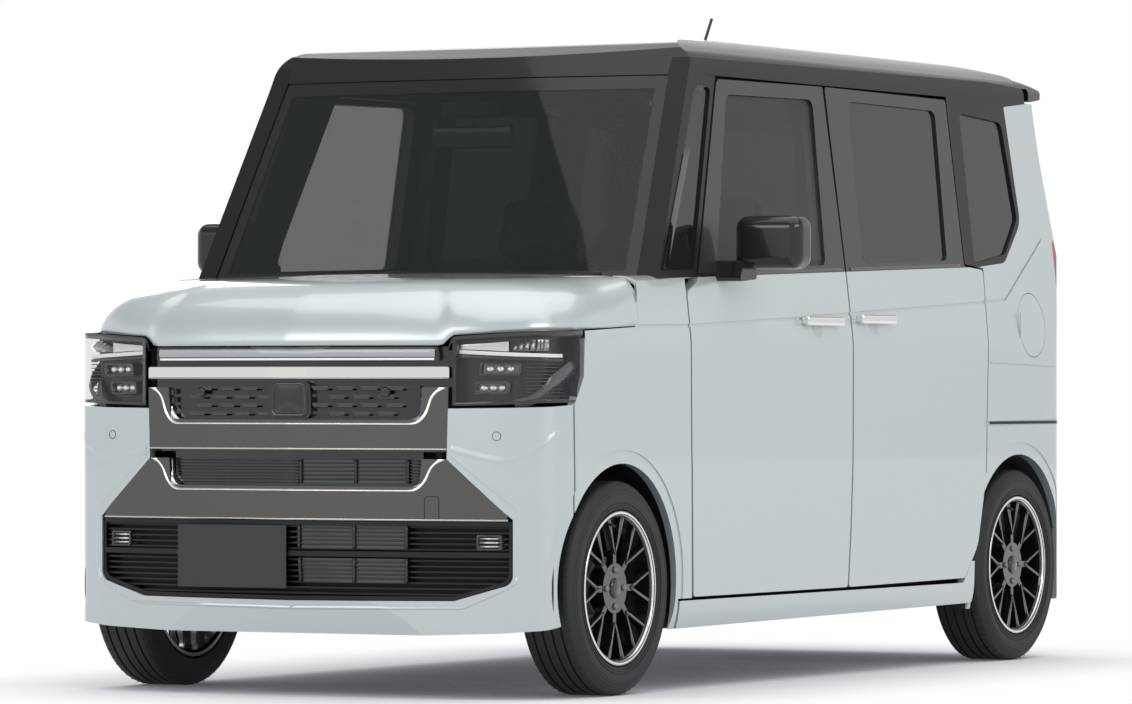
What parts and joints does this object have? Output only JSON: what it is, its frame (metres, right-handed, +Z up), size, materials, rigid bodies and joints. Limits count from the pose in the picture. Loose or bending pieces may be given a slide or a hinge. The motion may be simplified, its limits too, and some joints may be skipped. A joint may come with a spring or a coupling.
{
  "type": "tall four-seat kei car",
  "caption": "Tall box-shaped four-seat kei car with hinged front doors, sliding rear doors, bonnet, top-hinged tailgate, turning and steering wheels, and a full cabin.",
  "frame": {"origin": "floor under the middle of the car's bounding box", "axes": "-Y is forward, +X is the car's left side, +Z is up"},
  "size_m": [1.904, 3.395, 1.8904],
  "materials": {
    "body_paint": "gloss pearl",
    "black_paint": "gloss",
    "window_glass": "tinted",
    "clear_lens": "clear",
    "red_lens": "gloss",
    "black_plastic": "satin",
    "dark_chrome": "smoked",
    "bright_chrome": "bright",
    "blank_plate": "satin",
    "tyre_rubber": "matte",
    "black_rim": "gloss black with machined edges",
    "cast_steel": "machined",
    "chassis_metal": "satin",
    "engine_metal": "cast",
    "tank_plastic": "matte",
    "exhaust_steel": "satin",
    "seat_trim": "stitched",
    "wheel_trim": "satin"
  },
  "bodies": {
    "car_body": {"body_sides": "body_paint", "bulkhead": "chassis_metal", "cowl_panel": "black_plastic", "dashboard": "black_plastic", "engine_block": "engine_metal", "exhaust": "exhaust_steel", "fixed_side_glass": "window_glass", "floor_pan": "chassis_metal", "fog_lamps": "clear_lens", "front_bumper": "body_paint", "front_plate": "blank_plate", "front_seats": "seat_trim", "front_subframe": "chassis_metal", "front_wings": "body_paint", "fuel_tank": "tank_plastic", "grille_garnishes": "dark_chrome", "headlamp_housings": "black_plastic", "headlamp_lenses": "clear_lens", "lower_grille": "black_plastic", "nose_bars": "bright_chrome", "radiator": "chassis_metal", "rear_axle": "chassis_metal", "rear_bumper": "body_paint", "rear_handles": "bright_chrome", "rear_seat": "seat_trim", "rear_sliding_doors": "body_paint", "roof_panel": "black_paint", "tail_lamps": "red_lens", "upper_grille": "black_plastic", "wheel_houses": "black_plastic", "window_frames": "black_paint", "windscreen": "window_glass", "wipers": "black_plastic"},
    "front_door_left": {"front_door_l": "body_paint", "front_door_glass_l": "window_glass", "front_handle_l": "bright_chrome", "mirror_l": "black_paint"},
    "front_door_right": {"front_door_r": "body_paint", "front_door_glass_r": "window_glass", "front_handle_r": "bright_chrome", "mirror_r": "black_paint"},
    "bonnet_lid": {"bonnet": "body_paint"},
    "tailgate_lid": {"tailgate": "body_paint", "tailgate_glass": "window_glass", "spoiler": "black_paint", "rear_plate": "blank_plate"},
    "fuel_flap": {"fuel_lid": "body_paint"},
    "steer_left": {"knuckle_fl": "cast_steel"},
    "steer_right": {"knuckle_fr": "cast_steel"},
    "helm": {"steering_wheel": "wheel_trim"},
    "wheel_front_left": {"tyre_fl": "tyre_rubber", "rim_fl": "black_rim", "brake_disc_fl": "cast_steel"},
    "wheel_front_right": {"tyre_fr": "tyre_rubber", "rim_fr": "black_rim", "brake_disc_fr": "cast_steel"},
    "wheel_rear_left": {"tyre_rl": "tyre_rubber", "rim_rl": "black_rim"},
    "wheel_rear_right": {"tyre_rr": "tyre_rubber", "rim_rr": "black_rim"}
  },
  "joints": [
    {"name": "steer_left_turn", "type": "hinge", "parent": "car_body", "child": "steer_left", "pos_m": [0.6, -1.2225, 0.2812], "axis": [0, 0, 1], "range_deg": [-33, 33]},
    {"name": "steer_right_turn", "type": "hinge", "parent": "car_body", "child": "steer_right", "pos_m": [-0.6, -1.2225, 0.2812], "axis": [0, 0, 1], "range_deg": [-33, 33]},
    {"name": "helm_turn", "type": "hinge", "parent": "car_body", "child": "helm", "pos_m": [-0.29, -0.5325, 0.966], "axis": [0, 0.848, 0.5299], "range_deg": [-495, 495]},
    {"name": "wheel_front_left_spin", "type": "hinge", "parent": "steer_left", "child": "wheel_front_left", "pos_m": [0.6525, -1.2225, 0.2812], "axis": [1, 0, 0], "continuous": true},
    {"name": "wheel_front_right_spin", "type": "hinge", "parent": "steer_right", "child": "wheel_front_right", "pos_m": [-0.6525, -1.2225, 0.2812], "axis": [1, 0, 0], "continuous": true},
    {"name": "wheel_rear_left_spin", "type": "hinge", "parent": "car_body", "child": "wheel_rear_left", "pos_m": [0.6525, 1.2975, 0.2812], "axis": [1, 0, 0], "continuous": true},
    {"name": "wheel_rear_right_spin", "type": "hinge", "parent": "car_body", "child": "wheel_rear_right", "pos_m": [-0.6525, 1.2975, 0.2812], "axis": [1, 0, 0], "continuous": true},
    {"name": "front_door_left_hinge", "type": "hinge", "parent": "car_body", "child": "front_door_left", "pos_m": [0.731, -0.8105, 0.7], "axis": [0, 0, -1], "range_deg": [0, 65]},
    {"name": "front_door_right_hinge", "type": "hinge", "parent": "car_body", "child": "front_door_right", "pos_m": [-0.731, -0.8105, 0.7], "axis": [0, 0, 1], "range_deg": [0, 65]},
    {"name": "bonnet_hinge", "type": "hinge", "parent": "car_body", "child": "bonnet_lid", "pos_m": [0, -1.0525, 1.085], "axis": [-1, 0, 0], "range_deg": [0, 45]},
    {"name": "tailgate_hinge", "type": "hinge", "parent": "car_body", "child": "tailgate_lid", "pos_m": [0, 1.5255, 1.726], "axis": [1, 0, 0], "range_deg": [0, 80]},
    {"name": "fuel_flap_hinge", "type": "hinge", "parent": "car_body", "child": "fuel_flap", "pos_m": [0.7335, 1.3155, 0.991], "axis": [0, 0, -1], "range_deg": [0, 85]}
  ],
  "couplings": [
    {"joint": "steer_right_turn", "follows": "steer_left_turn", "ratio": 1},
    {"joint": "helm_turn", "follows": "steer_left_turn", "ratio": 15}
  ]
}
